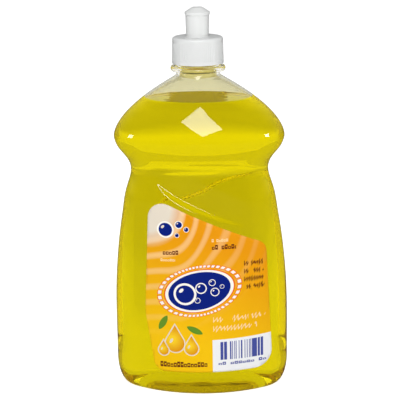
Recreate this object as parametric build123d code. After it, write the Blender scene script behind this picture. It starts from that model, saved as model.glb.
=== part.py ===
from build123d import *
import math
import os

# Clear squeeze bottle of dish soap with a push-pull closure, in millimetres.
# The origin is the centre of the foot, +Z is up and the label faces -Y.

# Bottle body, outside: half widths run along X, half depths along Y
body_half_width = 52.5
body_half_depth = 32.4
body_round_z = 45.0         # the sides are upright below this height
panel_round_z = 116.0       # the front and back are upright below this height
waist_half_width = 41.3
waist_half_depth = 28.9
waist_z = 136.0
shoulder_half_width = 51.1
shoulder_half_depth = 32.6
shoulder_z = 154.5
dome_z = 191.0              # where the shoulder's dome meets the neck
dome_power = 1.72           # how full the dome is between shoulder and neck
foot_inset = 6.4            # how far the foot stands in from the sides
foot_height = 16.0
panel_bow = 1.43            # radius of the front and back, seen from above, in half widths of the body
wall = 0.55

# Push-up in the base
push_half_width = 36.0
push_half_depth = 18.0
push_height = 6.5

# Grip scoop over the stepped label panel, the same at the front and the back
scoop_half_depth = 28.9     # how far its floor stands from the bottle's axis
scoop_radius = 160.0
scoop_shift = 6.5           # how far right of the axis its floor faces straight ahead
scoop_top_z = 137.5
ledge_start_x = -25.8       # where the ledge's line leaves the scoop's top
ledge_line = ((-24.8, 133.0), (-21.1, 127.3), (-15.3, 123.2), (-3.3, 116.8), (9.7, 111.3), (25.2, 104.8),
              (47.0, 95.0))
ledge_fall = 0.7            # how far the ledge leans down for each millimetre that it stands out
ledge_turn = 0.35           # how far it leans to the left for each millimetre that it stands out
tool_depth = 9.0            # how far the scoop's cutter starts behind its floor
ledge_foot_round = 1.2
ledge_lip_round = 1.3

# Screw neck
neck_radius = 12.7
neck_base_round = 1.6
bore_radius = 10.9
ring_radius = 16.2
ring_z = 193.5
ring_thickness = 3.1
ring_round = 1.2
neck_top_z = 212.2
lip_chamfer = 0.5

# Liquid
fill_z = 177.4
soap_gap = 0.1

# Closure
collar_radius = 15.0
skirt_flare = 0.25          # how much wider the collar is at its foot
collar_round = 1.7
skirt_gap = 1.5             # between the support ring and the skirt
thread_room = 1.2           # between the neck and the collar, for the screw thread
deck_thickness = 1.4
plug_clearance = 0.2
plug_depth = 3.2
plug_wall = 0.8
rib_count = 80
rib_depth = 0.2
rib_width = 0.5
rib_margin = 2.0            # plain bands over and under the ribs

# Turret and stopper pin
turret_radius = 4.8
turret_wall = 1.2
turret_height = 9.8
pin_radius = 1.45
pin_drop = 0.4              # how far the pin's end stays under the nozzle's tip
spoke_width = 0.9
spoke_height = 1.8
spoke_count = 3

# Nozzle, heights from the collar's deck
nozzle_foot_radius = 6.7
nozzle_top_radius = 6.95
nozzle_rim_radius = 7.4
nozzle_rim_height = 12.6
nozzle_rim_thickness = 1.8
nozzle_round = 0.4
nozzle_tip_radius = 3.2
nozzle_height = 17.1
nozzle_clearance = 0.45     # between the turret and the nozzle's bore
pin_clearance = 0.15
tip_wall = 1.6
snap = 0.25                 # how far the two snap beads stand out
snap_height = 0.9
snap_gap = 0.3              # under the nozzle's bead, and left over it when the nozzle is up
spout_travel = 5.0

# Front label, seen from the front
film = 0.12
film_gap = 0.04
label_corners = (((-28.8, 124.2), 9.0), ((40.0, 93.7), 8.0), ((43.6, 16.4), 10.0), ((-26.6, 15.6), 7.0),
                 ((-32.4, 52.0), 40.0))

panel_radius = panel_bow * body_half_width
deck_z = neck_top_z + deck_thickness
skirt_z = ring_z + ring_thickness + skirt_gap
turret_bore = turret_radius - turret_wall
nozzle_bore = turret_radius + nozzle_clearance


def oval(half_width, half_depth, turn, z):
    """A closed oval of four arcs that run into each other; turn is half the angle of its two side arcs."""
    slope = 1 / math.cos(turn) - math.tan(turn)
    side = (half_depth - half_width * slope) / (1 - slope)
    join_x = half_width - side + side * math.cos(turn)
    join_y = side * math.sin(turn)
    right = ThreePointArc((join_x, -join_y), (half_width, 0), (join_x, join_y))
    back = ThreePointArc((join_x, join_y), (0, half_depth), (-join_x, join_y))
    left = ThreePointArc((-join_x, join_y), (-half_width, 0), (-join_x, -join_y))
    front = ThreePointArc((-join_x, -join_y), (0, -half_depth), (join_x, -join_y))
    return Pos(0, 0, z) * make_face(right + back + left + front)


def panel_turn(half_width, half_depth):
    """Half the side arcs' angle in an oval whose front and back have the panel's own curve."""
    rise = panel_radius - half_depth
    side = (panel_radius**2 - half_width**2 - rise**2) / (2 * (panel_radius - half_width))
    return math.atan2(rise, half_width - side)


def body_section(half_width, half_depth, z, inset):
    """One oval of the body, drawn in by inset on every side."""
    return oval(half_width - inset, half_depth - inset, panel_turn(half_width, half_depth), z)


def bent_in(z, start, full, narrow):
    """A size that leaves full at start and bends in along one arc, to narrow at the waist."""
    share = max(0.0, (z - start) / (waist_z - start))
    return full - (full - narrow) * share**2


def foot_sections(inset):
    """Ovals up the rounded foot, which is a quarter of an ellipse seen from the front."""
    sections = []
    for degrees in (0, 20, 42, 65, 90):
        grow = foot_inset * (1 - math.sin(math.radians(degrees)))
        z = inset + (foot_height - inset) * (1 - math.cos(math.radians(degrees)))
        oval_turn = panel_turn(body_half_width, body_half_depth)
        sections.append(oval(body_half_width - inset - grow, body_half_depth - inset - grow, oval_turn, z))
    return sections


def side_sections(inset):
    """Ovals from the upright sides up to the waist."""
    heights = [(foot_height + body_round_z) / 2, body_round_z]
    heights += [body_round_z + (waist_z - body_round_z) * step / 7 for step in range(1, 8)]
    sections = []
    for z in heights:
        half_width = bent_in(z, body_round_z, body_half_width, waist_half_width)
        half_depth = bent_in(z, panel_round_z, body_half_depth, waist_half_depth)
        sections.append(body_section(half_width, half_depth, z, inset))
    return sections


def shoulder_sections(inset):
    """Ovals that swell from the waist out to the shoulder."""
    sections = []
    for share in (0.3, 0.5, 0.7, 1.0):
        swell = (1 - math.cos(math.pi * share)) / 2
        half_width = waist_half_width + (shoulder_half_width - waist_half_width) * swell
        half_depth = waist_half_depth + (shoulder_half_depth - waist_half_depth) * swell
        sections.append(body_section(half_width, half_depth, waist_z + (shoulder_z - waist_z) * share, inset))
    return sections


def dome_sections(inset, neck):
    """Ovals that close in over the shoulder until they are the neck's circle."""
    turn = panel_turn(shoulder_half_width, shoulder_half_depth)
    rise = dome_z - inset - shoulder_z
    sections = []
    for share in (0.12, 0.25, 0.4, 0.55, 0.7, 0.85, 1.0):
        fullness = 1 - share**dome_power
        half_width = neck + (shoulder_half_width - inset - neck) * fullness
        half_depth = neck + (shoulder_half_depth - inset - neck) * fullness
        sections.append(oval(half_width, half_depth, turn, shoulder_z + rise * share))
    return sections


def body_form(inset, neck):
    """The plain body, drawn in by inset on every side, up to a circle of radius neck."""
    foot = foot_sections(inset)
    side = foot[-1:] + side_sections(inset) + shoulder_sections(inset)
    dome = side[-1:] + dome_sections(inset, neck)
    return loft(foot) + loft(side) + loft(dome)


def push_up(grow):
    """The low dome hollowed into the base, grown by grow where it is the cavity's floor."""
    turn = math.radians(62)
    dome = []
    for width_share, rise in ((1.0, 0.0), (0.94, 0.32), (0.74, 0.7), (0.4, 0.96), (0.2, 1.0)):
        dome.append(
            oval(push_half_width * width_share + grow, push_half_depth * width_share + grow, turn,
                 push_height * rise + grow)
        )
    foot = oval(push_half_width + grow, push_half_depth + grow, turn, -1)
    return loft(dome) + extrude(foot, 1 + grow)


def scoop(grow):
    """What one grip scoop takes off the front: all that lies outside its floor and above the ledge."""
    floor_radius = scoop_radius - grow
    depth = scoop_half_depth - grow
    floor = Pos(scoop_shift, floor_radius - depth, 0) * extrude(Circle(floor_radius), dome_z)
    top = scoop_top_z + grow
    line = [(ledge_start_x - grow / 2, top)] + [(x - grow / 2, z - grow) for x, z in ledge_line]
    outline = make_face(Spline(*line) + Polyline(line[-1], (line[-1][0], top), line[0]))
    inside = Plane.XZ.offset(depth - tool_depth) * Pos(ledge_turn * tool_depth, ledge_fall * tool_depth) * outline
    reach = (tool_depth + body_half_depth) * math.hypot(ledge_turn, 1, ledge_fall)
    return extrude(inside, reach, dir=(-ledge_turn, -1, -ledge_fall)) - floor


def with_scoops(form, grow):
    """The form with the scoop taken off its front, and off its back half a turn round."""
    cutter = scoop(grow)
    return form - cutter - Rot(0, 0, 180) * cutter


def ledge_edges(form):
    """The long edges of both ledges, the two feet first and then the two lips."""
    lowest = ledge_line[-1][1]
    long = [edge for edge in form.edges() if edge.length > body_half_width * 0.5 and abs(edge.center().X) < 16]
    ledges = [edge for edge in long if lowest < edge.center().Z < waist_z - 8]
    return sorted(ledges, key=lambda edge: abs(edge.center().Y))


def rounded_ledges(form):
    """Rounds the foot and then the lip of both ledges."""
    form = fillet(ledge_edges(form)[:2], ledge_foot_round)
    return fillet(ledge_edges(form)[-2:], ledge_lip_round)


def neck_finish():
    """The neck with its support ring, turned about the axis; its bore is cut with the cavity."""
    stem = Pos(0, 0, dome_z - 1) * extrude(Circle(neck_radius), neck_top_z - dome_z + 1)
    stem = chamfer(stem.edges().group_by(Axis.Z)[-1], lip_chamfer)
    ring = Pos(0, 0, ring_z) * extrude(Circle(ring_radius), ring_thickness)
    ring = fillet(ring.edges(), ring_round)
    return stem + ring


def cavity():
    """The space inside the bottle, up through the neck's bore."""
    inside = with_scoops(body_form(wall, bore_radius), wall) - push_up(wall)
    bore = Pos(0, 0, dome_z - wall - 1) * extrude(Circle(bore_radius), neck_top_z - dome_z + wall + 2)
    return inside + bore


def bottle():
    """The blown bottle: body, ledges, push-up, neck and the cavity inside them."""
    outside = rounded_ledges(with_scoops(body_form(0, neck_radius), 0)) - push_up(0)
    outside = outside + neck_finish()
    roots = [edge for edge in outside.edges() if abs(edge.center().Z - dome_z) < 0.01 and edge.length > neck_radius]
    outside = fillet(roots, neck_base_round)
    return outside - cavity()


def dish_soap():
    """The liquid, a hair clear of the wall, up to its level."""
    inset = wall + soap_gap
    filled = with_scoops(body_form(inset, bore_radius), inset) - push_up(inset)
    return split(filled, Plane.XY.offset(fill_z), keep=Keep.BOTTOM)


def turned(points):
    """A ring turned about the bottle's axis from an outline given as radius and height."""
    return revolve(make_face(Plane.XZ * Polyline(*points, close=True)), Axis.Z)


def collar_shell():
    """The closure's skirt and deck, with its plug seal and the flow hole."""
    bore = neck_radius + thread_room
    plug = bore_radius - plug_clearance
    shell = turned(
        (
            (collar_radius + skirt_flare, skirt_z), (collar_radius, deck_z), (turret_bore, deck_z),
            (turret_bore, neck_top_z), (plug - plug_wall, neck_top_z), (plug - plug_wall, neck_top_z - plug_depth),
            (plug - plug_wall / 2, neck_top_z - plug_depth), (plug, neck_top_z - plug_depth + plug_wall),
            (plug, neck_top_z), (bore, neck_top_z), (bore, skirt_z),
        )
    )
    outer = [edge for edge in shell.edges().group_by(Axis.Z)[-1] if edge.radius > collar_radius - 1]
    return fillet(outer, collar_round)


def grip_grooves():
    """The fine upright grooves between the ribs round the collar."""
    height = deck_z - skirt_z - 2 * rib_margin - collar_round / 2
    groove = Pos(collar_radius + skirt_flare / 2, 0, skirt_z + rib_margin + height / 2) * Box(
        2 * rib_depth, rib_width, height
    )
    return [Rot(0, 0, 360 * step / rib_count) * groove for step in range(rib_count)]


def turret():
    """The fixed tube on the deck with its snap bead, and the stopper pin on three spokes."""
    top = deck_z + turret_height
    bead_z = deck_z + snap_gap + snap_height + spout_travel + snap_gap
    tube = turned(
        (
            (turret_bore, deck_z), (turret_radius, deck_z), (turret_radius, bead_z),
            (turret_radius + snap, bead_z + snap), (turret_radius + snap, bead_z + snap_height - snap),
            (turret_radius, bead_z + snap_height + snap), (turret_radius, top - snap), (turret_radius - snap, top),
            (turret_bore, top),
        )
    )
    pin_foot = top - spoke_height
    pin = Pos(0, 0, pin_foot) * extrude(Circle(pin_radius), deck_z + nozzle_height - pin_drop - pin_foot)
    pin = chamfer(pin.edges().group_by(Axis.Z)[-1], pin_radius / 3)
    length = turret_bore + turret_wall / 2
    spoke = Pos(length / 2, 0, pin_foot + spoke_height / 2) * Box(length, spoke_width, spoke_height)
    spokes = [Rot(0, 0, 360 * step / spoke_count) * spoke for step in range(spoke_count)]
    return tube + spokes + pin


def cap():
    """The whole moulded closure."""
    return collar_shell() - grip_grooves() + turret()


def spout():
    """The push-pull nozzle: a sleeve with a finger rim, a coned tip and a bead that catches the turret's."""
    base = deck_z
    rim = base + nozzle_rim_height
    tip = base + nozzle_height
    orifice = pin_radius + pin_clearance
    bead_top = base + snap_gap + snap_height
    throat_z = base + turret_height + 2 * snap_gap
    nozzle = turned(
        (
            (nozzle_foot_radius, base), (nozzle_top_radius, rim), (nozzle_rim_radius, rim + snap),
            (nozzle_rim_radius, rim + nozzle_rim_thickness), (nozzle_tip_radius, tip), (orifice, tip),
            (orifice, tip - tip_wall), (nozzle_bore, throat_z), (nozzle_bore, bead_top + snap),
            (nozzle_bore - snap, bead_top), (nozzle_bore - snap, base + snap_gap), (nozzle_bore, base),
        )
    )
    rings = nozzle.edges().filter_by(GeomType.CIRCLE)
    outer = [ring for ring in rings if ring.center().Z > rim + snap + 0.1 and ring.radius > nozzle_tip_radius - 0.1]
    return fillet([ring for ring in outer if ring.radius != nozzle_bore], nozzle_round)


def front_label():
    """The printed film, which follows the front panel a hair in front of it."""
    points = [corner[0] for corner in label_corners]
    outline = make_face(Polyline(*points, close=True))
    for place, round_radius in label_corners:
        nearest = outline.vertices().sort_by_distance(Vector(*place))[0]
        outline = fillet(nearest, round_radius)
    cutter = extrude(Plane.XZ.offset(panel_radius) * outline, -panel_radius)
    skin = body_form(-film_gap - film, neck_radius) - body_form(-film_gap, neck_radius)
    return skin & cutter


os.makedirs("parts", exist_ok=True)
for build in (bottle, dish_soap, cap, spout, front_label):
    export_step(build(), os.path.join("parts", build.__name__ + ".step"))
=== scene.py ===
"""Dresses the dish soap bottle: smooth clear walls, the liquid, the printed film and the closure."""

import math

import bmesh
import bpy
import numpy as np
from mathutils import Matrix, Vector


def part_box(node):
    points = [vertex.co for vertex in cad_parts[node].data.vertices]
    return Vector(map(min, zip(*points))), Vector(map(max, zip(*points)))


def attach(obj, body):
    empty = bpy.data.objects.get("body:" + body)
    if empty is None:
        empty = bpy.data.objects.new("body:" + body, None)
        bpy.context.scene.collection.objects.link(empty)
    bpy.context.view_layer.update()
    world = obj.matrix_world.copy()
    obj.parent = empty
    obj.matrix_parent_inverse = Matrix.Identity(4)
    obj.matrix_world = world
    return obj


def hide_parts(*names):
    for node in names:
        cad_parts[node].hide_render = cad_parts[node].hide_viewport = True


bl_info = {
    "name": "Dish Soap Bottle",
    "version": (1, 0, 0),
    "blender": (4, 5, 0),
    "location": "3D View > Sidebar > Bottle",
    "description": "Builds the clear squeeze bottle, its liquid, its film label and its push-pull closure",
    "category": "Object",
}

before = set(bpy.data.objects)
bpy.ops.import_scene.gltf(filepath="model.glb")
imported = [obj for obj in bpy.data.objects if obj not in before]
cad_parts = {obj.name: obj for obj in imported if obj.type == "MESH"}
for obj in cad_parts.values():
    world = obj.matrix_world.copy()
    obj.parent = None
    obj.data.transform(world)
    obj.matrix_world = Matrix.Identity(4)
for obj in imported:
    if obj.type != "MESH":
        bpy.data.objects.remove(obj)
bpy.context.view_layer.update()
MM = 0.001

# Body, outside, in millimetres: half widths run along X and half depths along Y. The dome has a
# round where it runs into the neck, whose own rings start a little over its top.
BODY = (52.5, 32.4)
BODY_ROUND_Z = 45.0
PANEL_ROUND_Z = 116.0
WAIST = (41.3, 28.9)
WAIST_Z = 136.0
SHOULDER = (51.1, 32.6)
SHOULDER_Z = 154.5
DOME_Z = 191.0
DOME_POWER = 1.72
DOME_ROUND = 2.4
ROOT_RISE = 0.9
FOOT_INSET = 6.4
FOOT_HEIGHT = 16.0
PANEL_RADIUS = 1.43 * BODY[0]
PUSH = (36.0, 18.0, 6.5)
PUSH_TURN = math.radians(62)

# Grip scoop, and its ledge's edge as x and z seen from the front. The slope is how far the
# ledge's wall runs outwards for each millimetre that it rises.
SCOOP_DEPTH = 28.9
SCOOP_RADIUS = 150.0
SCOOP_SHIFT = 9.0
SCOOP_TOP = 137.5
SCOOP_TOP_ROUND = 2.0
SCOOP_FLOOR_ROUND = 0.8
SCOOP_LIP_ROUND = 1.5
SCOOP_FACE_Y = -8.0
LEAST_PRESS = 0.02
LEDGE_LINE = (
    (-27.2, 138.2), (-26.4, 134.2), (-22.7, 128.4), (-16.6, 124.2), (-4.0, 118.1), (9.0, 112.5),
    (24.7, 105.9), (46.6, 96.1),
)
LEDGE_SLOPE = 0.45

# Heights of the rings: those that the scoop presses, those that lie close, and the steps elsewhere
SCOOP_RINGS = (80, 145)
LEDGE_RINGS = (94, 139)
DOME_RINGS_Z = 140.5
SIDE_STEP = 3.8
DOME_STEP = 1.7

# The liquid climbs the wall by a hair. Where it touches the wall, light bends only by the small
# difference between the two, so the wall's wetted face has the quotient of their indices.
CLIMB = 0.5
CLIMB_REACH = 0.7
SURFACE_RINGS = (0.0, 0.25, 0.6, 1.1, 1.8, 3.0, 5.0, 9.0, 14.0)
SKIN = 0.03
PLASTIC_IOR = 1.5
SOAP_IOR = 1.36

# In metres: where the surface mirrors the neck, along X, and its ends beyond; the heights over
# which the film of soap on the wall thins out; and where a painted reflection of the yellow liquid, a darker
# gold, lies in the core of the neck's root
MIRRORED_NECK = (-0.018, 0.0165)
MIRRORED_ENDS = 0.031
FILM_FADE = (0.1905, 0.1935)
PAINTED_REFLECTION_START = (0.186, 0.191)
PAINTED_REFLECTION_END = (0.2, 0.1975)
PAINTED_REFLECTION_REACH = 0.0118

# Neck: radius and height from its root over the support ring to the mouth, and down the bore
NECK_RADIUS = 12.7
BORE_RADIUS = 10.9
NECK_PROFILE = (
    (12.7, 192.9), (12.76, 193.3), (13.0, 193.5), (14.9, 193.5), (15.45, 193.62), (15.9, 193.95),
    (16.14, 194.4), (16.2, 194.9), (16.2, 195.3), (16.14, 195.75), (15.9, 196.2), (15.45, 196.5),
    (14.9, 196.6), (13.0, 196.6), (12.76, 196.8), (12.7, 197.3), (12.7, 204.0), (12.7, 211.4),
    (12.6, 211.85), (12.35, 212.12), (12.0, 212.2), (11.3, 212.2), (11.05, 212.1), (10.9, 211.8),
    (10.9, 204.0), (10.9, 193.0),
)

# Corners of the film and their rounds, seen from the front; where its mesh is cut along X and up
LABEL_CORNERS = (
    ((-28.8, 124.2), 9.0), ((40.0, 93.7), 8.0), ((43.6, 16.4), 10.0), ((-26.6, 15.6), 7.0),
    ((-32.4, 52.0), 40.0),
)
LABEL_CUTS = ((-33, 45), (14, 124))
LABEL_GAP = 0.04
LABEL_BACK = (0.95, 0.94, 0.9)
LABEL_ROUGHNESS = 0.4
CLOSURE_ROUGHNESS = 0.38
BEADS = 44
PRINT_LINE = (
    ("X", 0.0), ("Z", 0.0), ("Left", 0.0), ("Foot", 0.0), ("Length", 20.0), ("Height", 2.0), ("Tilt", 0.0),
    ("Pitch", 1.4), ("Seed", 1.0),
)

# Stage
FLOOR_HALF = 6.0
AIM_Z = 114.33
BOUNCES = 128
WHITE = (1, 1, 1, 1)

# The shader's sockets by a short name
SOCKETS = {
    "ior": "IOR", "clear": "Transmission Weight", "rough": "Roughness", "specular": "Specular IOR Level",
}


def panel_turn(half_width, half_depth):
    """Half the side arcs' angle in an oval whose front and back have the panel's own curve."""
    rise = PANEL_RADIUS - half_depth
    side = (PANEL_RADIUS**2 - half_width**2 - rise**2) / (2 * (PANEL_RADIUS - half_width))
    return math.atan2(rise, half_width - side)


def spline(knots, values, places):
    """A natural cubic spline through the values, read at the places."""
    knots, values, places = np.array(knots), np.array(values, dtype=float), np.asarray(places)
    count, step = len(knots), np.diff(knots)
    system = np.eye(count)
    right = np.zeros(values.shape)
    slope = np.diff(values, axis=0) / step[:, None]
    for row in range(1, count - 1):
        system[row, row - 1 : row + 2] = (step[row - 1], 2 * (step[row - 1] + step[row]), step[row])
        right[row] = 6 * (slope[row] - slope[row - 1])
    bend = np.linalg.solve(system, right)
    low = np.clip(np.searchsorted(knots, places) - 1, 0, count - 2)
    width = step[low][:, None]
    left, after = (knots[low + 1] - places)[:, None], (places - knots[low])[:, None]
    curve = (bend[low] * left**3 + bend[low + 1] * after**3) / (6 * width)
    curve += (values[low] / width - bend[low] * width / 6) * left
    return curve + (values[low + 1] / width - bend[low + 1] * width / 6) * after


def soft_max(first, second, reach):
    """The larger of two numbers, with a round of that reach where they cross."""
    near = np.maximum(reach - np.abs(first - second), 0) / reach
    return np.maximum(first, second) + near * near * reach / 4


def soft_min(first, second, reach):
    """The smaller of two numbers, with a round of that reach where they cross."""
    return -soft_max(-first, -second, reach)


def side_table():
    """Heights, half widths, half depths and turns of the body from the foot's top up to the shoulder."""
    rows = []
    steps = 7
    heights = [FOOT_HEIGHT, (FOOT_HEIGHT + BODY_ROUND_Z) / 2, BODY_ROUND_Z]
    heights += [BODY_ROUND_Z + (WAIST_Z - BODY_ROUND_Z) * step / steps for step in range(1, steps + 1)]
    for z in heights:
        width_share = max(0.0, (z - BODY_ROUND_Z) / (WAIST_Z - BODY_ROUND_Z)) ** 2
        depth_share = max(0.0, (z - PANEL_ROUND_Z) / (WAIST_Z - PANEL_ROUND_Z)) ** 2
        half_width = BODY[0] + (WAIST[0] - BODY[0]) * width_share
        half_depth = BODY[1] + (WAIST[1] - BODY[1]) * depth_share
        rows.append((z, half_width, half_depth))
    for share in (0.3, 0.5, 0.7, 1.0):
        swell = (1 - math.cos(math.pi * share)) / 2
        half_width = WAIST[0] + (SHOULDER[0] - WAIST[0]) * swell
        half_depth = WAIST[1] + (SHOULDER[1] - WAIST[1]) * swell
        rows.append((WAIST_Z + (SHOULDER_Z - WAIST_Z) * share, half_width, half_depth))
    return [(z, width, depth, panel_turn(width, depth)) for z, width, depth in rows]


SIDE_TABLE = side_table()


def body_sizes(z, inset, neck):
    """Half width, half depth and turn of the body's wall at the heights z, drawn in by inset."""
    z = np.asarray(z, dtype=float)
    table = np.array(SIDE_TABLE)
    sizes = spline(table[:, 0], table[:, 1:], np.clip(z, FOOT_HEIGHT, SHOULDER_Z))
    lift = np.clip((z - inset) / (FOOT_HEIGHT - inset), 0, 1)
    grow = FOOT_INSET * (1 - np.sqrt(np.maximum(0, 1 - (1 - lift) ** 2)))
    share = np.maximum(0, (z - SHOULDER_Z) / (DOME_Z - inset - SHOULDER_Z))
    fullness = 1 - share**DOME_POWER
    halves = []
    for side in range(2):
        half = np.where(z < FOOT_HEIGHT, BODY[side] - inset - grow, sizes[:, side] - inset)
        dome = soft_max(neck + (SHOULDER[side] - inset - neck) * fullness, neck, DOME_ROUND)
        halves.append(np.where(z > SHOULDER_Z, dome, half))
    return halves[0], halves[1], sizes[:, 2]


def oval_arcs(half_width, half_depth, turn):
    """Radii of an oval's side and panel arcs, and how far along X they meet."""
    slope = 1 / np.cos(turn) - np.tan(turn)
    side = (half_depth - half_width * slope) / (1 - slope)
    join = half_width - side + side * np.cos(turn)
    return side, join / np.cos(turn), join


def oval_ring(half_width, half_depth, turn, z, side_points, panel_points):
    """Points round an oval of four arcs, as many in every ring."""
    side, panel, _ = oval_arcs(half_width, half_depth, turn)
    angles = np.linspace(-turn, turn, side_points, endpoint=False)
    right = np.stack((half_width - side + side * np.cos(angles), side * np.sin(angles)), axis=1)
    angles = np.linspace(turn, math.pi - turn, panel_points, endpoint=False)
    back = np.stack((panel * np.cos(angles), half_depth - panel + panel * np.sin(angles)), axis=1)
    half = np.concatenate((right, back))
    ring = np.concatenate((half, -half))
    return np.column_stack((ring, np.full(len(ring), z)))


def panel_y(x, z, inset):
    """How far the plain front stands from the axis at x and z, as a positive number."""
    width, depth, turn = body_sizes(z, inset, NECK_RADIUS)
    side, panel, join = oval_arcs(width, depth, turn)
    x = np.abs(x)
    front = depth - panel + np.sqrt(np.maximum(0, panel**2 - x**2))
    edge = np.sqrt(np.maximum(0, side**2 - (x - width + side) ** 2))
    return np.where(x < join, front, edge)


def ledge_distance(x, z, inset):
    """How far each point of the front lies outside the scoop's outline, less than nothing inside it."""
    corners = np.array(LEDGE_LINE)
    corners[:, 0] -= inset / 2
    corners[1:, 1] -= inset
    corners[0, 1] += inset
    along = np.concatenate(([0], np.cumsum(np.hypot(*np.diff(corners, axis=0).T))))
    line = spline(along, corners, np.linspace(0, along[-1], 260))
    best, sign = np.full(len(x), np.inf), np.zeros(len(x))
    for start, end in zip(line[:-1], line[1:]):
        run = end - start
        share = np.clip(((x - start[0]) * run[0] + (z - start[1]) * run[1]) / (run @ run), 0, 1)
        off_x, off_z = x - start[0] - share * run[0], z - start[1] - share * run[1]
        away = np.hypot(off_x, off_z)
        nearer = away < best
        best = np.where(nearer, away, best)
        sign = np.where(nearer, np.sign(run[0] * off_z - run[1] * off_x), sign)
    return soft_max(-sign * best, z - SCOOP_TOP - inset, SCOOP_TOP_ROUND)


def scooped(ring, inset):
    """Presses the grip scoops into a ring of the body, at the front and half a turn round at the back."""
    for way in (1, -1):
        x, y, z = ring[:, 0] * way, ring[:, 1] * way, ring[:, 2]
        stand = -y - (SCOOP_DEPTH - inset)
        floor = -((x - SCOOP_SHIFT) ** 2) / (2 * SCOOP_RADIUS)
        wall = ledge_distance(x, z, inset) / LEDGE_SLOPE
        pressed = soft_min(stand, soft_max(floor, wall, SCOOP_FLOOR_ROUND), SCOOP_LIP_ROUND)
        pressed = np.where(stand - pressed < LEAST_PRESS, stand, pressed)
        ring[:, 1] = np.where(y < SCOOP_FACE_Y, -(pressed + SCOOP_DEPTH - inset) * way, ring[:, 1])
    return ring


def body_rings(inset, neck, top, counts, level):
    """The body's rings from the foot up to the height top, with one ring just at level."""
    degrees = np.linspace(0, 90, 15)[1:]
    foot = inset + (FOOT_HEIGHT - inset) * (1 - np.cos(np.radians(degrees)))
    side = np.arange(FOOT_HEIGHT + 3, LEDGE_RINGS[0], SIDE_STEP)
    ledge = np.arange(*LEDGE_RINGS, 0.8)
    below = np.arange(DOME_RINGS_Z, level - 0.5, DOME_STEP)
    above = np.arange(level + 0.8, top - 0.4, DOME_STEP)
    last = [] if top == level else [top]
    heights = np.concatenate(([inset], foot, side, ledge, below, [level], above, last))
    width, depth, turn = body_sizes(heights, inset, neck)
    rings = []
    for row, z in enumerate(heights):
        ring = oval_ring(width[row], depth[row], turn[row], z, *counts)
        rings.append(scooped(ring, inset) if SCOOP_RINGS[0] < z < SCOOP_RINGS[1] else ring)
    return rings


def base_rings(grow, counts):
    """Rings of the base from its middle out to the foot, with the push-up, raised by grow inside."""
    shares = np.array((0.06, 0.2, 0.4, 0.57, 0.74, 0.85, 0.94, 0.98, 1.0))
    knots = np.array(((0.0, 1.02), (0.2, 1.0), (0.4, 0.96), (0.74, 0.7), (0.94, 0.32), (1.0, 0.0)))
    rises = spline(knots[:, 0], knots[:, 1:], shares)[:, 0]
    rings = []
    for share, rise in zip(shares, rises):
        half_width, half_depth = PUSH[0] * share + grow, PUSH[1] * share + grow
        rings.append(oval_ring(half_width, half_depth, PUSH_TURN, PUSH[2] * rise + grow, *counts))
    edge = rings[-1]
    inset = FOOT_INSET + grow
    outer = oval_ring(BODY[0] - inset, BODY[1] - inset, panel_turn(*BODY), grow, *counts)
    return rings + [edge * (1 - share) + outer * share for share in (0.1, 0.5)]


def ringed(name, rings, second=()):
    """A mesh of rings with as many points each, made by extruding the first ring from one to the next.
    The bands that lead to the rings counted in second take the second material."""
    shape = bmesh.new()
    place = shape.verts.layers.int.new("place")
    bmesh.ops.create_circle(shape, cap_ends=False, segments=len(rings[0]), radius=1.0)
    shape.verts.ensure_lookup_table()
    for index, vert in enumerate(shape.verts):
        vert[place] = index
        vert.co = Vector(rings[0][index]) * MM
    first = edges = list(shape.edges)
    for count, ring in enumerate(rings[1:], start=1):
        grown = bmesh.ops.extrude_edge_only(shape, edges=edges)["geom"]
        for item in grown:
            if isinstance(item, bmesh.types.BMVert):
                item.co = Vector(ring[item[place]]) * MM
            if isinstance(item, bmesh.types.BMFace) and count in second:
                item.material_index = 1
        edges = [edge for edge in grown if isinstance(edge, bmesh.types.BMEdge)]
    bmesh.ops.contextual_create(shape, geom=first)
    for face in bmesh.ops.contextual_create(shape, geom=edges)["faces"]:
        face.material_index = 1 if second else 0
    shape.verts.layers.int.remove(place)
    return placed(name, shape)


def placed(name, shape):
    """Turns a finished bmesh into a smooth object of the scene, its faces pointing outwards."""
    bmesh.ops.recalc_face_normals(shape, faces=shape.faces)
    mesh = bpy.data.meshes.new(name)
    shape.to_mesh(mesh)
    shape.free()
    for face in mesh.polygons:
        face.use_smooth = True
    piece = bpy.data.objects.new(name, mesh)
    bpy.context.collection.objects.link(piece)
    return piece


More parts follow.
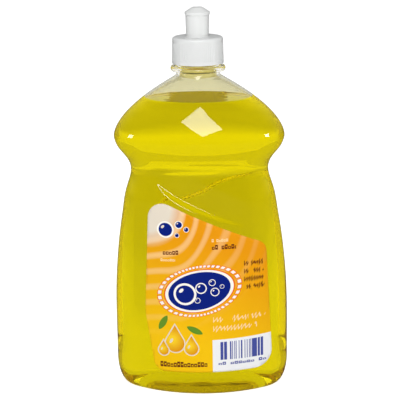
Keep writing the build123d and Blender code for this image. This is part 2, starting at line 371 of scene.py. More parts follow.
class Wiring:
    """Places nodes in one tree and joins them."""

    def __init__(self, tree):
        self.tree = tree

    def feed(self, socket, value):
        if isinstance(value, bpy.types.NodeSocket):
            self.tree.links.new(value, socket)
        elif value is not None:
            socket.default_value = value

    def node(self, kind, values=(), **settings):
        node = self.tree.nodes.new(kind)
        for key, value in settings.items():
            setattr(node, key, value)
        for key, value in dict(values).items():
            self.feed(node.inputs[key], value)
        return node

    def math(self, operation, *values):
        return self.node("ShaderNodeMath", enumerate(values), operation=operation).outputs[0]

    def fold(self, operation, values):
        total = values[0]
        for value in values[1:]:
            total = self.math(operation, total, value)
        return total

    def times(self, *values):
        return self.fold("MULTIPLY", values)

    def plus(self, *values):
        return self.fold("ADD", values)

    def minus(self, *values):
        return self.fold("SUBTRACT", values)

    def under(self, value, edge):
        return self.math("LESS_THAN", value, edge)

    def over(self, value, edge):
        return self.math("GREATER_THAN", value, edge)

    def ramp(self, value, low, high, start=0.0, end=1.0):
        values = ((0, value), (1, low), (2, high), (3, start), (4, end))
        return self.node("ShaderNodeMapRange", values, clamp=True).outputs[0]

    def blend(self, factor, first, second):
        values = ((0, factor), (6, first), (7, second))
        return self.node("ShaderNodeMix", values, data_type="RGBA", blend_type="MIX").outputs[2]

    def places(self):
        return self.node("ShaderNodeTexCoord").outputs["Object"]

    def split(self, vector):
        return self.node("ShaderNodeSeparateXYZ", {0: vector}).outputs

    def stretched(self, scales):
        values = {0: self.places(), 1: scales}
        return self.node("ShaderNodeVectorMath", values, operation="MULTIPLY").outputs[0]

    def length(self, vector):
        return self.node("ShaderNodeVectorMath", {0: vector}, operation="LENGTH").outputs["Value"]

    def noise(self, vector, scale, detail):
        values = {"Vector": vector, "Scale": scale, "Detail": detail}
        return self.node("ShaderNodeTexNoise", values).outputs[0]

    def chance(self, value):
        return self.node("ShaderNodeTexWhiteNoise", {"W": value}, noise_dimensions="1D").outputs["Value"]


def group_wiring(name, inputs, outputs):
    """A new node group with named sockets: its wiring, what it is given and what it puts out."""
    tree = bpy.data.node_groups.new(name, "ShaderNodeTree")
    for label, kind, default in inputs:
        tree.interface.new_socket(name=label, in_out="INPUT", socket_type=kind).default_value = default
    for label, kind in outputs:
        tree.interface.new_socket(name=label, in_out="OUTPUT", socket_type=kind)
    wires = Wiring(tree)
    return wires, wires.node("NodeGroupInput").outputs, wires.node("NodeGroupOutput").inputs


def grouped(wires, build, values):
    """A node of the group that build makes on its first use, with its inputs fed."""
    tree = bpy.data.node_groups.get(build.__name__) or build()
    return wires.node("ShaderNodeGroup", values, node_tree=tree)


def plastic_grain():
    """Slow changes of tone and gloss and a fine unevenness, as moulded and blown plastic has."""
    number, tone = "NodeSocketFloat", "NodeSocketColor"
    inputs = (
        ("Tone", tone, (0.8, 0.8, 0.8, 1)), ("Tone change", number, 0.03), ("Roughness", number, 0.3),
        ("Roughness change", number, 0.05), ("Scale", number, 60.0),
    )
    outputs = (("Colour", tone), ("Roughness", number), ("Height", number))
    wires, given, made = group_wiring("plastic_grain", inputs, outputs)
    place = wires.places()
    slow = wires.noise(place, given["Scale"], 3.0)
    fine = wires.noise(place, wires.times(given["Scale"], 22.0), 2.0)
    centred = wires.minus(slow, 0.5)
    shade = wires.plus(1.0, wires.times(centred, given["Tone change"], 2.0))
    toned = wires.node("ShaderNodeVectorMath", {0: given["Tone"], "Scale": shade}, operation="SCALE")
    wires.feed(made["Colour"], toned.outputs[0])
    rough = wires.plus(given["Roughness"], wires.times(centred, given["Roughness change"], 2.0))
    wires.feed(made["Roughness"], rough)
    wires.feed(made["Height"], wires.plus(fine, wires.times(slow, 2.0)))
    return wires.tree


def line_group(name, more=()):
    """The start of a group that draws a line of print: its wiring, sockets, the places along and over
    the line, and 1 between the line's ends."""
    inputs = [(label, "NodeSocketFloat", value) for label, value in PRINT_LINE + more]
    wires, given, made = group_wiring(name, inputs, (("Mask", "NodeSocketFloat"),))
    across = wires.minus(given["X"], given["Left"])
    rise = wires.minus(given["Z"], given["Foot"], wires.times(across, given["Tilt"]))
    share = wires.math("DIVIDE", across, given["Length"])
    return wires, given, made, across, rise, wires.times(wires.over(share, 0.0), wires.under(share, 1.0))


def word_blocks():
    """A row of small blocks that stands for a line of print without being any letters."""
    wires, given, made, across, rise, ends = line_group("word_blocks")
    # shares of blocks left out, and of a block's width and height that its gap and its hole take
    blank, side_gap, hole_half = 0.14, 0.16, (0.17, 0.13)
    cell = wires.math("DIVIDE", across, given["Pitch"])
    within = wires.math("FRACT", cell)
    chance = wires.chance(wires.plus(wires.math("FLOOR", cell), wires.times(given["Seed"], 17.3)))
    second = wires.math("FRACT", wires.times(chance, 7.31))
    top = wires.times(given["Height"], wires.ramp(second, 0.3, 0.9, 0.62, 1.0))
    inside = wires.times(
        wires.over(rise, 0.0), wires.under(rise, top), wires.over(within, side_gap),
        wires.over(chance, blank),
    )
    middle = wires.times(given["Height"], wires.ramp(second, 0.0, 1.0, 0.25, 0.55))
    hole = wires.times(
        wires.math("COMPARE", within, 0.6, hole_half[0]),
        wires.math("COMPARE", rise, middle, wires.times(given["Height"], hole_half[1])),
    )
    wires.feed(made["Mask"], wires.times(inside, wires.minus(1.0, hole), ends))
    return wires.tree


def script_stroke():
    """A running scribble that stands for a line of script without being any letters."""
    wires, given, made, across, rise, ends = line_group("script_stroke", (("Stroke", 0.35),))
    # share of gaps, how far the stroke leans, and the width of a gap in pitches
    blank, lean, word_width = 0.13, 0.35, 0.9
    turns = wires.math("DIVIDE", wires.minus(across, wires.times(rise, lean)), given["Pitch"])
    drift = wires.plus(wires.times(turns, 0.55), wires.times(given["Seed"], 31.0))
    unsteady = wires.node("ShaderNodeTexNoise", {"W": drift, "Scale": 1.0}, noise_dimensions="1D").outputs[0]
    phase = wires.plus(wires.times(turns, 2 * math.pi), wires.times(unsteady, 5.0))
    swing = wires.times(given["Height"], wires.ramp(unsteady, 0.3, 0.7, 0.25, 0.62))
    line = wires.times(swing, wires.math("SINE", phase))
    half = wires.times(given["Stroke"], wires.plus(0.7, wires.times(unsteady, 1.2)))
    near = wires.under(wires.math("ABSOLUTE", wires.minus(rise, line)), half)
    word = wires.math("FLOOR", wires.math("DIVIDE", across, wires.times(given["Pitch"], word_width)))
    chance = wires.chance(wires.plus(word, wires.times(given["Seed"], 5.7)))
    wires.feed(made["Mask"], wires.times(near, wires.over(chance, blank), ends))
    return wires.tree


def new_material(name, **values):
    """A node material with plain values on its Principled shader, its wiring, the shader and its output."""
    material = bpy.data.materials.new(name)
    material.use_nodes = True
    wires = Wiring(material.node_tree)
    shader = material.node_tree.nodes["Principled BSDF"]
    for key, value in values.items():
        shader.inputs[SOCKETS[key]].default_value = value
    return material, wires, shader, material.node_tree.nodes["Material Output"]


def opaque(tone):
    """A colour with full alpha."""
    return tuple(tone) + (1,)


def grain(wires, shader, tone, tone_change, scale, roughness=None, roughness_change=0.0):
    """Gives a material's shader the grain of plastic; without a roughness only its tone."""
    values = {"Tone": tone, "Tone change": tone_change, "Scale": scale, "Roughness": roughness,
              "Roughness change": roughness_change}
    made = grouped(wires, plastic_grain, values)
    wires.feed(shader.inputs["Base Color"], made.outputs["Colour"])
    if roughness is not None:
        wires.feed(shader.inputs["Roughness"], made.outputs["Roughness"])
    return made


def clear_plastic(name, ior):
    """Clear blown plastic with slow upright ripples. Its dry faces carry the tint that the liquid gives
    the filled wall, and over the level that of the soap that clings there. In the core of the neck's root they
    carry a darker gold, a painted reflection of the yellow liquid."""
    scene = bpy.context.scene
    look = scene.bottle_look
    material, wires, shader, _ = new_material(name, ior=ior, clear=1.0)
    tint = opaque(look.plastic_tint)
    if ior == PLASTIC_IOR:
        height = wires.split(wires.places())[2]
        # painted reflection: a darker gold in the core of the neck's root, between the two height ramps,
        # standing in for the yellow liquid seen there
        core = wires.under(wires.length(wires.stretched((1.0, 1.0, 0.0))), PAINTED_REFLECTION_REACH)
        painted_reflection = wires.times(wires.ramp(height, *PAINTED_REFLECTION_START), wires.ramp(height, *PAINTED_REFLECTION_END), core)
        tint = wires.blend(wires.ramp(height, *FILM_FADE), opaque(look.film_tint), tint)
        tint = wires.blend(painted_reflection, tint, opaque(look.neck_tint))
        filled = wires.under(height, scene.bottle_shape.fill + CLIMB * MM)
        tint = wires.blend(filled, tint, opaque(look.filled_tint))
    rough = {"roughness": look.plastic_roughness, "roughness_change": 0.004}
    grain(wires, shader, tint, tone_change=0.01, scale=25.0, **rough)
    ripple = wires.noise(wires.stretched((1.0, 1.0, 0.16)), 75.0, 1.0)
    bump = wires.node("ShaderNodeBump", {"Strength": 1.0, "Distance": look.ripple, "Height": ripple})
    wires.feed(shader.inputs["Normal"], bump.outputs[0])
    return material


def soap_liquid(name, ior, tint, deep=False):
    """The clear yellow liquid, whose colour comes from the depth of it where it is deep."""
    look = bpy.context.scene.bottle_look
    material, wires, shader, output = new_material(name, ior=ior, clear=1.0, rough=0.0)
    grain(wires, shader, opaque(tint), tone_change=0.004, scale=18.0)
    if deep:
        values = {"Color": opaque(look.soap_colour), "Density": look.soap_density}
        depth = wires.node("ShaderNodeVolumeAbsorption", values)
        wires.feed(output.inputs["Volume"], depth.outputs[0])
    return material


def white_plastic(name, tone, roughness):
    """White moulded polypropylene, slightly waxy."""
    material, wires, shader, _ = new_material(name, ior=1.49)
    rough = {"roughness": roughness, "roughness_change": 0.04}
    made = grain(wires, shader, opaque(tone), tone_change=0.015, scale=70.0, **rough)
    values = {"Strength": 0.08, "Distance": 0.00003, "Height": made.outputs["Height"]}
    bump = wires.node("ShaderNodeBump", values)
    wires.feed(shader.inputs["Normal"], bump.outputs[0])
    return material


class PrintDesign:
    """The film's printed design, drawn in millimetres on the front: x to the right and z up."""

    def __init__(self, wires):
        self.wires = wires
        place = wires.split(wires.places())
        self.x = wires.times(place[0], 1000.0)
        self.z = wires.times(place[2], 1000.0)

    def side_of(self, first, second):
        """How far to the left of the line from first to second."""
        run = (second[0] - first[0], second[1] - first[1])
        size = math.hypot(*run)
        slant_x, slant_z = -run[1] / size, run[0] / size
        shift = -(first[0] * slant_x + first[1] * slant_z)
        return self.wires.plus(self.wires.times(self.x, slant_x), self.wires.times(self.z, slant_z), shift)

    def polygon(self, corners):
        """1 inside a convex outline given clockwise."""
        pairs = zip(corners, corners[1:] + corners[:1])
        return self.wires.times(*[self.wires.under(self.side_of(*pair), 0.0) for pair in pairs])

    def oval(self, centre, radii, degrees=0.0):
        """Distance from an oval's centre, 1 on its edge."""
        wires = self.wires
        across, up = wires.plus(self.x, -centre[0]), wires.plus(self.z, -centre[1])
        cosine, sine = math.cos(math.radians(degrees)), math.sin(math.radians(degrees))
        along = wires.plus(wires.times(across, cosine / radii[0]), wires.times(up, sine / radii[0]))
        aside = wires.plus(wires.times(up, cosine / radii[1]), wires.times(across, -sine / radii[1]))
        return wires.math("SQRT", wires.plus(wires.times(along, along), wires.times(aside, aside)))

    def spot(self, centre, radii, degrees=0.0):
        """1 inside an oval."""
        return self.wires.under(self.oval(centre, radii, degrees), 1.0)

    def line(self, build, *values):
        """1 on a line of print, whose values come in the order of the group's sockets after X and Z."""
        node = grouped(self.wires, build, {"X": self.x, "Z": self.z})
        for socket, value in zip(node.inputs[2:], values):
            socket.default_value = value
        return node.outputs[0]


def paint_ground(design, colour_of):
    """Orange that runs down into yellow, with a cream corner and pale ripples round it."""
    wires = design.wires
    down = wires.ramp(wires.plus(design.z, wires.times(design.x, 0.35)), 30.0, 100.0)
    ground = wires.blend(down, colour_of["yellow"], colour_of["orange"])
    away = design.oval((-31.0, 117.0), (1.0, 1.0))
    uneven = wires.times(wires.math("SINE", wires.times(design.x, 0.19)), 0.8)
    rings = wires.math("SINE", wires.plus(wires.times(away, 0.66), uneven))
    ripples = wires.times(wires.ramp(rings, 0.0, 0.9), wires.ramp(away, 80.0, 24.0), 0.6)
    ground = wires.blend(ripples, ground, colour_of["pale"])
    return wires.blend(wires.ramp(away, 25.0, 15.0), ground, colour_of["cream"])


def paint_bubbles(design, ground, places, rim, fill, glint):
    """Round bubbles with a rim and a glint; a fill of None leaves them clear."""
    wires = design.wires
    for x, z, radius in places:
        away = design.oval((x, z), (radius, radius))
        if fill:
            ground = wires.blend(wires.under(away, 1.0), ground, fill)
        edge = wires.times(wires.under(away, 1.1), wires.over(away, 0.88))
        ground = wires.blend(edge, ground, rim)
        shine = design.spot((x - radius * 0.35, z + radius * 0.35), (radius * 0.26, radius * 0.16), 45)
        ground = wires.blend(shine, ground, glint)
    return ground


def paint_oval(design, ground, colour_of):
    """A navy oval with a white rim, a ring of white beads round it and bubbles in it."""
    wires = design.wires
    x, z = 0.5, 67.0
    edge = design.oval((x, z), (18.8, 11.4), 13)
    angle = wires.math("ARCTAN2", wires.plus(design.z, -z), wires.plus(design.x, -x))
    cell = wires.math("FRACT", wires.times(angle, BEADS / math.pi / 2))
    within = wires.math("ABSOLUTE", wires.minus(cell, 0.5))
    for half, reach, tone in ((0.42, 0.085, "shade"), (0.3, 0.055, "white")):
        bead = wires.times(wires.under(within, half), wires.math("COMPARE", edge, 1.29, reach))
        ground = wires.blend(bead, ground, colour_of[tone])
    for reach, tone in ((1.15, "shade"), (1.1, "white"), (1.0, "navy")):
        ground = wires.blend(wires.under(edge, reach), ground, colour_of[tone])
    bubbles = (
        (-8.0, 65.0, 6.2), (1.6, 68.8, 3.1), (-0.6, 61.2, 1.6), (8.2, 72.2, 1.9), (9.8, 66.4, 2.4),
        (14.0, 69.6, 1.2),
    )
    return paint_bubbles(design, ground, bubbles, colour_of["white"], None, colour_of["white"])


def paint_drops(design, ground, colour_of):
    """Three golden drops and two leaves."""
    wires = design.wires
    for x, z, turn in ((-21.5, 46.5, 60), (-2.5, 42.5, -25)):
        # a leaf is what two ovals share, each moved a little to its side
        aside = math.radians(turn + 90)
        halves = [
            design.spot((x + shift * math.cos(aside), z + shift * math.sin(aside)), (6.0, 3.6), turn)
            for shift in (1.7, -1.7)
        ]
        ground = wires.blend(wires.times(*halves), ground, colour_of["leaf"])
    for x, z, radius in ((-14.5, 34.0, 5.6), (-21.5, 29.0, 3.0), (-4.6, 31.0, 4.0)):
        shade = wires.ramp(design.oval((x - radius * 0.3, z + radius * 0.4), (radius, radius)), 0.3, 1.5)
        golden = wires.blend(shade, colour_of["lemon"], colour_of["amber"])
        for size, tone in ((radius + 0.7, colour_of["cream"]), (radius, golden)):
            left, right, foot = x - 0.87 * size, x + 0.87 * size, z + 0.5 * size
            tip = design.polygon(((left, foot), (x, z + 2 * size), (right, foot)))
            ground = wires.blend(wires.math("MAXIMUM", design.spot((x, z), (size, size)), tip), ground, tone)
        shine = design.spot((x - radius * 0.4, z + radius * 0.25), (radius * 0.3, radius * 0.14), 60)
        ground = wires.blend(shine, ground, colour_of["cream"])
    return ground


def paint_small_print(design, ground, colour_of):
    """Lines of blocks and scribble where such a label has its small print, and the corner's bubbles."""
    # left end, foot, length, height, tilt, pitch and seed, and for scribble half the stroke's width
    for build, tone, *values in (
        (word_blocks, "brown", -23.0, 88.6, 12.5, 2.9, 0.05, 1.9, 2.0),
        (word_blocks, "pale", -22.5, 84.6, 9.0, 1.8, 0.05, 1.4, 5.0),
        (word_blocks, "brown", 8.0, 92.4, 14.5, 2.9, 0.0, 1.9, 11.0),
        (word_blocks, "pale", 8.0, 97.0, 10.5, 1.8, 0.0, 1.4, 14.0),
        (word_blocks, "brown", -24.0, 18.4, 30.0, 3.6, 0.04, 2.05, 21.0),
        (script_stroke, "brown", 27.0, 82.6, 11.0, 2.1, 0.0, 1.5, 1.0, 0.6),
        (script_stroke, "brown", 27.0, 77.8, 11.5, 2.1, 0.0, 1.5, 4.0, 0.6),
        (script_stroke, "brown", 27.0, 73.0, 11.5, 2.1, 0.0, 1.5, 7.0, 0.6),
        (script_stroke, "brown", 27.0, 68.2, 12.0, 2.1, 0.0, 1.5, 9.0, 0.6),
        (script_stroke, "pale", 8.5, 49.0, 31.0, 2.4, 0.02, 2.1, 12.0, 0.55),
        (script_stroke, "pale", 8.5, 43.4, 26.0, 2.4, 0.02, 2.1, 15.0, 0.55),
    ):
        ground = design.wires.blend(design.line(build, *values), ground, colour_of[tone])
    bubbles = ((-19.0, 104.2, 4.6), (-11.0, 107.4, 2.2), (-12.2, 101.0, 1.3), (-6.6, 104.6, 1.5))
    return paint_bubbles(design, ground, bubbles, colour_of["white"], colour_of["navy"], colour_of["cream"])


def paint_code_panel(design, ground, colour_of):
    """A white panel with a run of bars of uneven width, at the lower right."""
    wires = design.wires
    left, foot, bars_left, bars_right = 8.0, 23.6, 12.4, 38.0
    below = wires.under(design.side_of((left, 36.3), (45.0, 37.4)), 0.0)
    ground = wires.blend(wires.times(below, wires.over(design.x, left)), ground, colour_of["panel"])
    cell = wires.chance(wires.math("FLOOR", wires.times(design.x, 2.3)))
    top = wires.plus(wires.times(design.x, 0.02), 34.6)
    band = wires.times(
        wires.over(design.x, bars_left), wires.under(design.x, bars_right),
        wires.under(wires.minus(design.z, top), 0.0), wires.over(design.z, foot),
    )
    ground = wires.blend(wires.times(band, wires.over(cell, 0.42)), ground, colour_of["bar"])
    marks = design.line(word_blocks, 11.0, 20.4, 29.0, 1.9, 0.0, 2.4, 33.0)
    return wires.blend(marks, ground, colour_of["bar"])


def printed_film(name):
    """Satin printed film."""
    ink = bpy.context.scene.bottle_print
    colour_of = {tone: opaque(getattr(ink, tone)) for tone in BottlePrint.__annotations__}
    material, wires, shader, _ = new_material(name, specular=0.12)
    design = PrintDesign(wires)
    ground = paint_ground(design, colour_of)
    for layer in (paint_oval, paint_drops, paint_small_print, paint_code_panel):
        ground = layer(design, ground, colour_of)
    rough = {"roughness": LABEL_ROUGHNESS, "roughness_change": 0.03}
    grain(wires, shader, ground, tone_change=0.012, scale=40.0, **rough)
    return material


def floor_material():
    """A white floor that keeps the bottle's shadow; reflections see it dark, as from black flags."""
    stage = bpy.context.scene.bottle_stage
    material, wires, shader, output = new_material("studio_floor", rough=0.9, specular=0.0)
    light = wires.node("ShaderNodeLightPath").outputs
    bounced = wires.times(light["Is Glossy Ray"], wires.minus(1.0, light["Is Transmission Ray"]))
    wires.feed(shader.inputs["Base Color"], wires.blend(bounced, opaque((0.9,) * 3), opaque((0.09,) * 3)))
    away = wires.length(wires.places())
    near = wires.times(wires.ramp(away, 0.3, 0.03), stage.foot_glow)
    far = wires.times(wires.ramp(away, 0.5, 0.8), stage.far_glow)
    through = wires.times(wires.plus(near, far, stage.floor_glow * 0.4), light["Is Transmission Ray"])
    glow = wires.plus(through, wires.times(light["Is Camera Ray"], stage.floor_glow))
    lit = wires.node("ShaderNodeEmission", {"Color": WHITE, "Strength": glow})
    both = wires.node("ShaderNodeAddShader", {0: shader.outputs[0], 1: lit.outputs[0]})
    wires.feed(output.inputs["Surface"], both.outputs[0])
    return material


def setting(name, description, default, low, high, **kind):
    """A number setting."""
    return bpy.props.FloatProperty(
        name=name, description=description, default=default, min=low, max=high, **kind)


def angle(name, description, degrees):
    """An angle setting, given in degrees."""
    return setting(
        name, description, math.radians(degrees), -math.pi, math.pi, subtype="ANGLE", unit="ROTATION")


def colour(name, description, default):
    """A colour setting."""
    return bpy.props.FloatVectorProperty(
        name=name, description=description, default=default, min=0, max=1, subtype="COLOR")


class BottleShape(bpy.types.PropertyGroup):
    """Sizes of the bottle's pieces."""

    wall: setting("Wall", "Thickness of the blown wall", 0.00055, 0.0002, 0.002, unit="LENGTH")
    fill: setting(
        "Fill height", "Height of the liquid's level above the floor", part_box("dish_soap")[1][2], 0.05, 0.19,
        unit="LENGTH")
    soap_gap: setting("Liquid gap", "Gap between the wall and the liquid", 0.0001, 0.0, 0.0005, unit="LENGTH")
    film: setting("Film", "Thickness of the label's film", 0.00012, 0.00005, 0.0005, unit="LENGTH")


class BottleLook(bpy.types.PropertyGroup):
    """Colours and gloss of the plastics and the liquid."""

    plastic_tint: colour("Plastic tint", "Tint of the clear wall", (0.985, 0.985, 0.98))
    filled_tint: colour("Filled tint", "Tint of the outer face where the wall is filled", (0.72, 0.62, 0.05))
    film_tint: colour("Film tint", "Tint of the wall where soap clings to it", (0.79, 0.77, 0.6))
    # colour of the painted reflection of the yellow liquid in the core of the neck's root
    neck_tint: colour("Painted neck reflection", "Tint in the core of the neck's root", (0.57, 0.49, 0.11))
    ripple: setting("Ripple", "Height of the slow ripples in the wall", 0.00006, 0, 0.001, unit="LENGTH")
    plastic_roughness: setting("Plastic roughness", "Roughness of the clear wall", 0.004, 0, 0.2)
    soap_tint: colour("Liquid tint", "Tint that even thin liquid has", (0.995, 0.985, 0.5))
    shade_tint: colour("Shaded surface", "Tint of the surface where it mirrors the neck", (0.43, 0.32, 0.0))
    soap_colour: colour("Liquid colour", "Colour that deep liquid keeps", (0.985, 0.975, 0.0))
    soap_density: setting("Liquid density", "How strongly a metre of liquid colours the light", 70.0, 0, 1000)
    cap_tone: colour("Collar tone", "White of the collar", (0.73, 0.74, 0.735))
    spout_tone: colour("Nozzle tone", "White of the nozzle", (0.76, 0.77, 0.76))


class BottlePrint(bpy.types.PropertyGroup):
    """Inks of the printed film."""

    yellow: colour("Yellow", "Ground at the label's foot", (0.90, 0.54, 0.001))
    orange: colour("Orange", "Ground at the label's top", (0.79, 0.3, 0.0))
    pale: colour("Pale", "Ripples and pale print", (0.96, 0.66, 0.33))
    cream: colour("Cream", "The upper left corner, the drops' rims and the glints", (0.76, 0.68, 0.56))
    white: colour("White", "Rims and beads", (0.92, 0.88, 0.82))
    navy: colour("Navy", "The oval and the corner's bubbles", (0.0, 0.012, 0.2))
    shade: colour("Shade", "Warm edge round the white rims", (0.80, 0.16, 0.01))
    brown: colour("Brown", "Small dark print", (0.13, 0.02, 0.003))
    leaf: colour("Leaf", "The two leaves", (0.12, 0.28, 0.02))
    lemon: colour("Lemon", "Light side of the drops", (0.93, 0.62, 0.02))
    amber: colour("Amber", "Dark side of the drops", (0.72, 0.26, 0.002))
    panel: colour("Panel", "Ground of the bar panel", (0.84, 0.85, 0.87))
    bar: colour("Bar", "Bars of the panel", (0.06, 0.08, 0.33))


class BottleStage(bpy.types.PropertyGroup):
    """Camera and light."""

    key: setting("Front light", "Power of the soft light in front and above", 8.4, 0, 1000, unit="POWER")
    side: setting("Side lights", "Power of each small side light", 0.021, 0, 100, unit="POWER")
    world: setting("World", "Light from all round", 0.248, 0, 2)
    floor_glow: setting("Floor glow", "White added to the floor where it is seen", 0.75, 0, 1)
    foot_glow: setting("Foot glow", "White added near the foot, seen through the liquid", 0.5, 0, 1)
    far_glow: setting("Far glow", "White added far behind, seen through the liquid", 0.5, 0, 1)
    lens: setting("Lens", "Focal length in millimetres on a 36 mm sensor", 125.77, 20, 400)
    distance: setting("Distance", "From the camera to the bottle's axis", 0.84496, 0.2, 10, unit="LENGTH")
    pitch: angle("Pitch", "How far the camera looks down", 14.296)
    swing: angle("Swing", "How far the camera stands round to the right", 3.139)
    roll: angle("Roll", "How far the camera is turned about its own view", -0.863)


def ring_counts():
    """Points on each side arc and on each front or back arc of the body's rings."""
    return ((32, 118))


class BOTTLE_OT_bottle(bpy.types.Operator):
    """Build the blown bottle with both faces of its wall, its scoops, push-up, neck and support ring"""

    bl_idname = "bottle.bottle"
    bl_label = "Clear bottle"

    def execute(self, context):
        shape = context.scene.bottle_shape
        wall = shape.wall / MM
        level = shape.fill / MM + CLIMB
        counts = ring_counts()
        outside = base_rings(0, counts) + body_rings(0, NECK_RADIUS, DOME_Z + ROOT_RISE, counts, level)
        outside += [oval_ring(radius, radius, PUSH_TURN, z, *counts) for radius, z in NECK_PROFILE]
        top = DOME_Z - wall + ROOT_RISE
        inside = base_rings(wall, counts) + body_rings(wall, BORE_RADIUS, top, counts, level)
        rings = outside + inside[::-1]
        wet = {count for count in range(len(outside), len(rings)) if rings[count - 1][0][2] < level + 0.01}
        piece = ringed("clear_bottle", rings, wet)
        piece.data.materials.append(clear_plastic("clear_plastic", PLASTIC_IOR))
        piece.data.materials.append(clear_plastic("clear_plastic_on_liquid", PLASTIC_IOR / SOAP_IOR))
        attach(piece, "bottle")
        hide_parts("bottle")
        return {"FINISHED"}


class BOTTLE_OT_soap(bpy.types.Operator):
    """Build the liquid, a hair clear of the wall, and its surface with a meniscus along the wall"""

    bl_idname = "bottle.soap"
    bl_label = "Liquid"

    def execute(self, context):
        shape, look = context.scene.bottle_shape, context.scene.bottle_look
        inset = (shape.wall + shape.soap_gap) / MM
        fill = shape.fill / MM
        counts = ring_counts()
        top = fill + CLIMB
        rings = base_rings(inset, counts) + body_rings(inset, BORE_RADIUS, top, counts, top)
        surface = []
        for away in SURFACE_RINGS:
            ring = rings[-1].copy()
            reach = np.hypot(ring[:, 0], ring[:, 1])[:, None]
            ring[:, :2] *= 1 - np.minimum(away / reach, 0.9)
            ring[:, 2] = fill + CLIMB * math.exp(-away / CLIMB_REACH)
            surface.append(ring)
        lift = np.array((0, 0, SKIN))
        piece = ringed("dish_soap_liquid", rings + [ring - lift for ring in surface[1:]])
        piece.data.materials.append(soap_liquid("yellow_soap", 1.0, look.soap_tint, deep=True))
        skin_rings = [ring - lift / 3 for ring in surface[::-1]] + surface
        skin = ringed("dish_soap_surface", skin_rings, set(range(len(surface) + 1, len(skin_rings))))
        skin.data.materials.append(soap_liquid("soap_under_surface", 1.0, look.soap_tint))
        skin.data.materials.append(soap_liquid("soap_surface", SOAP_IOR, look.soap_tint))
        skin.data.materials.append(soap_liquid("soap_under_neck", 1.0, look.shade_tint))
        for face in skin.data.polygons:
            x = face.center.x
            mirrored = MIRRORED_NECK[0] < x < MIRRORED_NECK[1] or abs(x) > MIRRORED_ENDS
            if face.material_index == 1 and mirrored:
                face.material_index = 2
        for made in (piece, skin):
            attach(made, "bottle")
        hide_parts("dish_soap")
        return {"FINISHED"}


def rounded_outline(corners, pieces=8):
    """Points round an outline whose corners are rounded."""
    points = []
    count = len(corners)
    for index, (corner, radius) in enumerate(corners):
        here = np.array(corner)
        before = np.array(corners[index - 1][0]) - here
        after = np.array(corners[(index + 1) % count][0]) - here
        before, after = before / np.linalg.norm(before), after / np.linalg.norm(after)
        half = math.acos(np.clip(before @ after, -1, 1)) / 2
        centre = here + (before + after) / np.linalg.norm(before + after) * radius / math.sin(half)
        start = here + before * radius / math.tan(half) - centre
        end = here + after * radius / math.tan(half) - centre
        sweep = math.pi - 2 * half
        for step in range(pieces + 1):
            share = step / pieces
            turned = start * math.sin((1 - share) * sweep) + end * math.sin(share * sweep)
            points.append(centre + turned / math.sin(sweep))
    return points


class BOTTLE_OT_label(bpy.types.Operator):
    """Build the printed film, bent to the front panel"""

    bl_idname = "bottle.label"
    bl_label = "Printed film"

    def execute(self, context):
        film = context.scene.bottle_shape.film / MM
        shape = bmesh.new()
        outline = rounded_outline(LABEL_CORNERS)
        shape.faces.new([shape.verts.new((x, 0, z)) for x, z in outline])
        step = 1.5
        cuts = [((x, 0, 0), (1, 0, 0)) for x in np.arange(*LABEL_CUTS[0], step)]
        cuts += [((0, 0, z), (0, 0, 1)) for z in np.arange(*LABEL_CUTS[1], 2 * step)]
        for place, normal in cuts:
            everything = shape.verts[:] + shape.edges[:] + shape.faces[:]
            bmesh.ops.bisect_plane(shape, geom=everything, dist=1e-5, plane_co=place, plane_no=normal)
        bmesh.ops.recalc_face_normals(shape, faces=shape.faces)
        if shape.faces[:][0].normal.y > 0:
            bmesh.ops.reverse_faces(shape, faces=shape.faces)
        back = bmesh.ops.duplicate(shape, geom=shape.verts[:] + shape.edges[:] + shape.faces[:])
        back_verts = {item for item in back["geom"] if isinstance(item, bmesh.types.BMVert)}
        back_faces = [item for item in back["geom"] if isinstance(item, bmesh.types.BMFace)]
        bmesh.ops.reverse_faces(shape, faces=back_faces)
        for face in back_faces:
            face.material_index = 1
        for verts, stand in ((back_verts, LABEL_GAP), (set(shape.verts) - back_verts, LABEL_GAP + film)):
            verts = list(verts)
            x, z = np.array([vert.co.x for vert in verts]), np.array([vert.co.z for vert in verts])
            for vert, out in zip(verts, panel_y(x, z, -stand)):
                vert.co.y = -out
        edges = [edge for edge in shape.edges if edge.is_boundary]
        bmesh.ops.bridge_loops(shape, edges=edges)
        bmesh.ops.scale(shape, vec=(MM, MM, MM), verts=shape.verts)
        piece = placed("printed_label", shape)
        piece.data.materials.append(printed_film("label_print"))
        piece.data.materials.append(white_plastic("label_back", LABEL_BACK, LABEL_ROUGHNESS))
        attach(piece, "bottle")
        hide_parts("front_label")
        return {"FINISHED"}


class BOTTLE_OT_closure(bpy.types.Operator):
    """Give the screw cap and the nozzle their white plastic"""

    bl_idname = "bottle.closure"
    bl_label = "Closure"

    def execute(self, context):
        look = context.scene.bottle_look
        for node, tone in (("cap", look.cap_tone), ("spout", look.spout_tone)):
            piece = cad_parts[node]
            material = white_plastic(node + "_white", tone, CLOSURE_ROUGHNESS)
            if not piece.material_slots:
                piece.data.materials.append(material)
            for slot in piece.material_slots:
                slot.material = material
        return {"FINISHED"}


def add_light(name, size, power, place, aim, turn=0):
    """A rectangular area light that faces a point, in millimetres, turned about its own view in degrees."""
    lamp = bpy.data.lights.new(name, "AREA")
    lamp.shape = "RECTANGLE"
    lamp.size, lamp.size_y = size[0] * MM, size[1] * MM
    lamp.energy = power
    light = bpy.data.objects.new(name, lamp)
    facing = (Vector(aim) - Vector(place)).to_track_quat("-Z", "Y").to_matrix().to_4x4()
    turned = facing @ Matrix.Rotation(math.radians(turn), 4, "Z")
    light.matrix_world = Matrix.Translation(Vector(place) * MM) @ turned
    light.visible_camera = light.visible_transmission = False
    bpy.context.collection.objects.link(light)


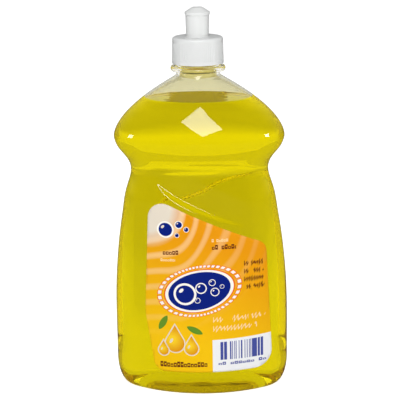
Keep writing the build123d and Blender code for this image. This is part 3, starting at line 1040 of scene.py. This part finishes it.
class BOTTLE_OT_stage(bpy.types.Operator):
    """Set the white floor, the world, the lights and the camera"""

    bl_idname = "bottle.stage"
    bl_label = "Stage"

    def execute(self, context):
        scene = context.scene
        stage = scene.bottle_stage
        scene.view_settings.view_transform = "Standard"
        # light needs five bounces for every turn that it takes inside the filled wall
        cycles = scene.cycles
        cycles.max_bounces = cycles.transmission_bounces = cycles.glossy_bounces = BOUNCES
        shape = bmesh.new()
        bmesh.ops.create_grid(shape, x_segments=1, y_segments=1, size=FLOOR_HALF)
        floor = placed("studio_floor", shape)
        floor.data.materials.append(floor_material())
        world = bpy.data.worlds.new("studio")
        scene.world = world
        world.use_nodes = True
        wires = Wiring(world.node_tree)
        light = wires.node("ShaderNodeLightPath").outputs
        way = wires.split(wires.node("ShaderNodeTexCoord").outputs["Generated"])
        # reflections see a dark room, a little lighter behind; the light itself grows upwards
        behind = wires.ramp(way[1], 0.2, 0.9, 0.04, 0.15)
        around = wires.times(wires.ramp(way[2], 0.0, 1.0, 1.1, 2.1), stage.world)
        level = wires.blend(light["Is Glossy Ray"], around, behind)
        level = wires.blend(light["Is Transmission Ray"], level, WHITE)
        level = wires.blend(light["Is Camera Ray"], level, WHITE)
        wires.feed(world.node_tree.nodes["Background"].inputs["Color"], level)
        add_light("front_softbox", (490, 650), stage.key, place=(42, -905, 785), aim=(0, 0, 165), turn=38)
        add_light("left_strip", (30, 19), stage.side, place=(-152, -56.5, 176.0), aim=(-39, -21, 158))
        add_light("right_strip", (30, 19), stage.side * 1.5, place=(155, -48, 180.0), aim=(41, -20, 158))
        camera = bpy.data.objects.new("camera", bpy.data.cameras.new("camera"))
        camera.data.lens = stage.lens
        camera.data.sensor_width = 36
        camera.data.clip_start = 0.01
        camera.data.clip_end = 50
        aim = Vector((0, 0, AIM_Z)) * MM
        flat, rise = stage.distance * math.cos(stage.pitch), stage.distance * math.sin(stage.pitch)
        offset = Vector((flat * math.sin(stage.swing), -flat * math.cos(stage.swing), rise))
        facing = (-offset).to_track_quat("-Z", "Y").to_matrix().to_4x4()
        turned = facing @ Matrix.Rotation(stage.roll, 4, "Z")
        camera.matrix_world = Matrix.Translation(aim + offset) @ turned
        scene.collection.objects.link(camera)
        scene.camera = camera
        return {"FINISHED"}


class BOTTLE_PT_panel(bpy.types.Panel):
    """Lists the bottle's pieces and the stage"""

    bl_idname = "BOTTLE_PT_panel"
    bl_label = "Dish Soap Bottle"
    bl_space_type = "VIEW_3D"
    bl_region_type = "UI"
    bl_category = "Bottle"

    def draw(self, context):
        layout = self.layout
        scene = context.scene
        for group, settings in GROUPS:
            box = layout.box()
            for key in settings.__annotations__:
                box.prop(getattr(scene, group), key)
        for operator in OPERATORS:
            layout.operator(operator.bl_idname)


OPERATORS = (BOTTLE_OT_bottle, BOTTLE_OT_soap, BOTTLE_OT_label, BOTTLE_OT_closure, BOTTLE_OT_stage)
GROUPS = (
    ("bottle_shape", BottleShape), ("bottle_look", BottleLook), ("bottle_print", BottlePrint),
    ("bottle_stage", BottleStage),
)


def register():
    """Makes the settings, operators and panel known."""
    for name, group in GROUPS:
        bpy.utils.register_class(group)
        setattr(bpy.types.Scene, name, bpy.props.PointerProperty(type=group))
    for operator in OPERATORS + (BOTTLE_PT_panel,):
        bpy.utils.register_class(operator)


def unregister():
    """Takes the settings, operators and panel away again."""
    for operator in (BOTTLE_PT_panel,) + OPERATORS[::-1]:
        bpy.utils.unregister_class(operator)
    for name, group in GROUPS[::-1]:
        delattr(bpy.types.Scene, name)
        bpy.utils.unregister_class(group)


def main():
    """Builds every piece and the stage."""
    register()
    bpy.ops.bottle.bottle()
    bpy.ops.bottle.soap()
    bpy.ops.bottle.label()
    bpy.ops.bottle.closure()
    bpy.ops.bottle.stage()


if __name__ == "__main__":
    main()
